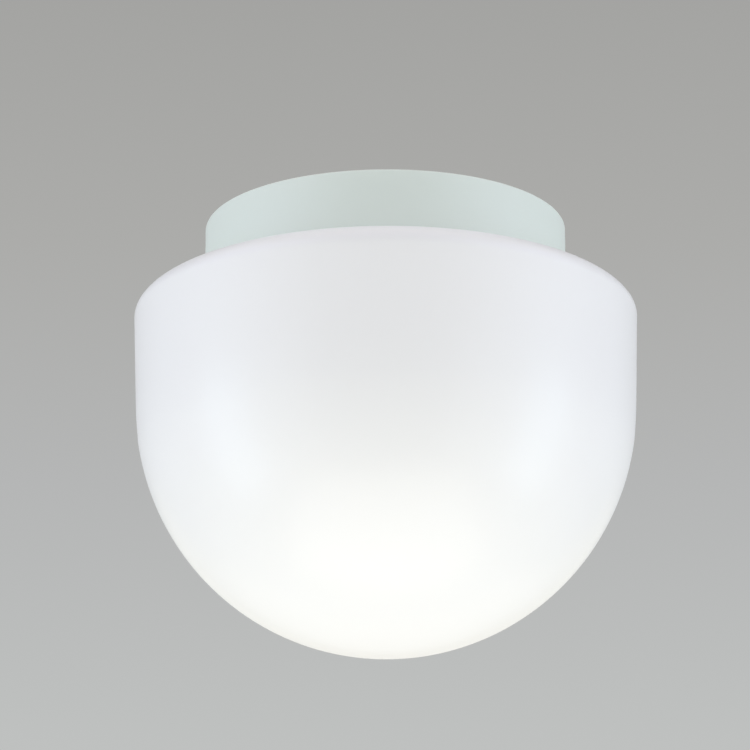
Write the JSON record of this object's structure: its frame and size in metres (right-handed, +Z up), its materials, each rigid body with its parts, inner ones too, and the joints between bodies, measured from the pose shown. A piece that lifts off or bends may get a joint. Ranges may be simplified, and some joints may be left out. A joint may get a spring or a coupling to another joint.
{
  "type": "ceiling light",
  "caption": "Small surface ceiling light: round painted pan with a screw-on opal bowl over a light board, driver and push-in terminal.",
  "frame": {"origin": "middle of the pan's back, in the plane that meets the ceiling", "axes": "+Z up into the ceiling, along the axis of the pan and cover; +Y towards the cable entry's side; the two fixing slots lie on X"},
  "size_m": [0.18, 0.18, 0.1557],
  "materials": {
    "pan_paint": "satin",
    "opal_acrylic": "gloss",
    "black_foam": "matte",
    "grey_rubber": "matte",
    "white_plastic": "satin",
    "orange_plastic": "satin",
    "brass": "satin",
    "zinc_steel": "satin",
    "aluminium_sheet": "satin",
    "green_board": "satin",
    "white_board": "satin",
    "ferrite": "matte",
    "yellow_tape": "gloss",
    "capacitor_sleeve": "gloss",
    "copper_wire": "satin",
    "chip_resin": "matte",
    "fuse_ceramic": "satin",
    "diode_resin": "gloss",
    "clear_lens": "gloss",
    "black_lead": "satin",
    "white_lead": "satin"
  },
  "bodies": {
    "fitting": {"base_pan": "pan_paint", "ceiling_packing": "black_foam", "slot_bush_1": "grey_rubber", "slot_bush_2": "grey_rubber", "cable_grommet": "grey_rubber", "terminal_block": "white_plastic", "terminal_contact_1": "brass", "terminal_contact_2": "brass", "terminal_screw_1": "zinc_steel", "terminal_screw_2": "zinc_steel", "earth_screw": "zinc_steel", "earth_washer": "brass", "driver_board": "green_board", "driver_board_screw_1": "zinc_steel", "driver_board_screw_2": "zinc_steel", "transformer_core": "ferrite", "transformer_winding": "yellow_tape", "driver_capacitor_1": "capacitor_sleeve", "driver_capacitor_2": "capacitor_sleeve", "driver_choke": "copper_wire", "driver_chip_1": "chip_resin", "driver_chip_2": "chip_resin", "driver_fuse": "fuse_ceramic", "driver_header_1": "white_plastic", "driver_header_2": "white_plastic", "driver_cover": "white_plastic", "driver_cover_screw_1": "zinc_steel", "driver_cover_screw_2": "zinc_steel", "supply_lead_1": "black_lead", "supply_lead_2": "white_lead", "led_lead_1": "black_lead", "led_lead_2": "white_lead", "led_plate": "aluminium_sheet", "plate_screw_1": "zinc_steel", "plate_screw_2": "zinc_steel", "plate_screw_3": "zinc_steel", "led_board": "white_board", "led_board_screw_1": "zinc_steel", "led_board_screw_2": "zinc_steel", "led_board_screw_3": "zinc_steel", "led_connector": "white_plastic", "led_1": "diode_resin", "led_2": "diode_resin", "led_3": "diode_resin", "led_4": "diode_resin", "led_5": "diode_resin", "led_6": "diode_resin", "led_7": "diode_resin", "led_8": "diode_resin", "led_9": "diode_resin", "led_lens": "clear_lens", "lens_screw_1": "zinc_steel", "lens_screw_2": "zinc_steel", "lens_screw_3": "zinc_steel"},
    "packing": {"cover_packing": "grey_rubber"},
    "cover": {"opal_cover": "opal_acrylic"},
    "release_button": {"terminal_release": "orange_plastic"}
  },
  "joints": [
    {"name": "cover_drop", "type": "slide", "parent": "fitting", "child": "packing", "axis": [0, 0, -1], "range_m": [0, 0.00562]},
    {"name": "cover_twist", "type": "hinge", "parent": "packing", "child": "cover", "pos_m": [0, 0, -0.0234], "axis": [0, 0, -1], "range_deg": [0, 450]},
    {"name": "release_press", "type": "slide", "parent": "fitting", "child": "release_button", "axis": [0, 0, 1], "range_m": [0, 0.0012], "stiffness_N_per_m": 1500, "springref_m": -0.001}
  ],
  "couplings": [
    {"joint": "cover_drop", "follows": "cover_twist", "m_per_rad": 0.0007162}
  ]
}
